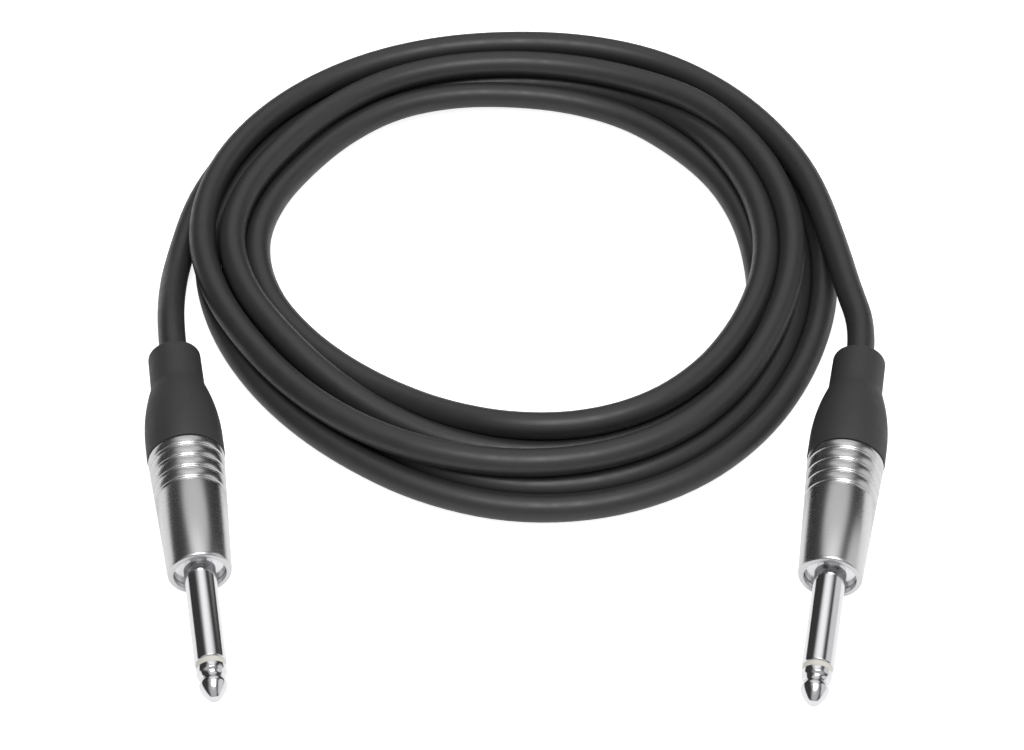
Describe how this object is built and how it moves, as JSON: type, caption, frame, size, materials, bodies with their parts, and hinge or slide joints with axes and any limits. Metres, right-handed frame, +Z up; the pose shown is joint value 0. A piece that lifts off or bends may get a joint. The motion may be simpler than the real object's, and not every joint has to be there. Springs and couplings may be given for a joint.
{
  "type": "instrument cable",
  "caption": "Instrument cable with straight 6.35 mm mono plugs, tapered satin metal shells, black screw-on rubber boots and a coiled black cable",
  "frame": {"origin": "on the floor under the middle of the box round the two plugs, without the free cable", "axes": "+Z up from the floor, +X from the left plug to the right plug as pictured, +Y from the plug tips towards the coil"},
  "size_m": [0.1551, 0.1975, 0.0163],
  "materials": {
    "pin_metal": "polished nickel plate on brass",
    "ring_plastic": "natural white moulded acetal",
    "fibre_washer": "red-brown fibre",
    "terminal_brass": "tinned brass sheet",
    "shell_metal": "satin nickel plate on turned metal",
    "boot_rubber": "matte black soft-touch rubber",
    "chuck_plastic": "dark grey acetal",
    "cable_jacket": "matte black flexible jacket",
    "core_plastic": "natural polyethylene",
    "bare_copper": "bare stranded copper",
    "solder": "dull solder"
  },
  "bodies": {
    "cable": {"tip_contact_left": "pin_metal", "tip_insulator_left": "ring_plastic", "sleeve_contact_left": "pin_metal", "core_insulator_left": "ring_plastic", "rear_insulator_left": "fibre_washer", "tip_terminal_left": "terminal_brass", "sleeve_terminal_left": "terminal_brass", "shell_left": "shell_metal", "jacket_end_left": "cable_jacket", "core_wire_left": "core_plastic", "conductor_end_left": "bare_copper", "shield_braid_left": "bare_copper", "tip_solder_left": "solder", "sleeve_solder_left": "solder", "tip_contact_right": "pin_metal", "tip_insulator_right": "ring_plastic", "sleeve_contact_right": "pin_metal", "core_insulator_right": "ring_plastic", "rear_insulator_right": "fibre_washer", "tip_terminal_right": "terminal_brass", "sleeve_terminal_right": "terminal_brass", "shell_right": "shell_metal", "jacket_end_right": "cable_jacket", "core_wire_right": "core_plastic", "conductor_end_right": "bare_copper", "shield_braid_right": "bare_copper", "tip_solder_right": "solder", "sleeve_solder_right": "solder", "cable_tail_left": "cable_jacket", "cable_coil": "cable_jacket", "cable_tail_right": "cable_jacket"},
    "chuck_left": {"chuck_left": "chuck_plastic"},
    "boot_left": {"boot_left": "boot_rubber"},
    "chuck_right": {"chuck_right": "chuck_plastic"},
    "boot_right": {"boot_right": "boot_rubber"}
  },
  "joints": [
    {"name": "chuck_slide_left", "type": "slide", "parent": "cable", "child": "chuck_left", "axis": [-0.1614, 0.9856, 0.0506], "range_m": [0, 0.003]},
    {"name": "boot_screw_left", "type": "hinge", "parent": "chuck_left", "child": "boot_left", "pos_m": [-0.0677, 0.01633, 0.00797], "axis": [-0.1614, 0.9856, 0.0506], "range_deg": [0, 1080]},
    {"name": "chuck_slide_right", "type": "slide", "parent": "cable", "child": "chuck_right", "axis": [0.1751, 0.9832, 0.0506], "range_m": [0, 0.003]},
    {"name": "boot_screw_right", "type": "hinge", "parent": "chuck_right", "child": "boot_right", "pos_m": [0.06733, 0.01519, 0.00797], "axis": [0.1751, 0.9832, 0.0506], "range_deg": [0, 1080]}
  ],
  "couplings": [
    {"joint": "boot_screw_left", "follows": "chuck_slide_left", "rad_per_m": 6283.2},
    {"joint": "boot_screw_right", "follows": "chuck_slide_right", "rad_per_m": 6283.2}
  ]
}
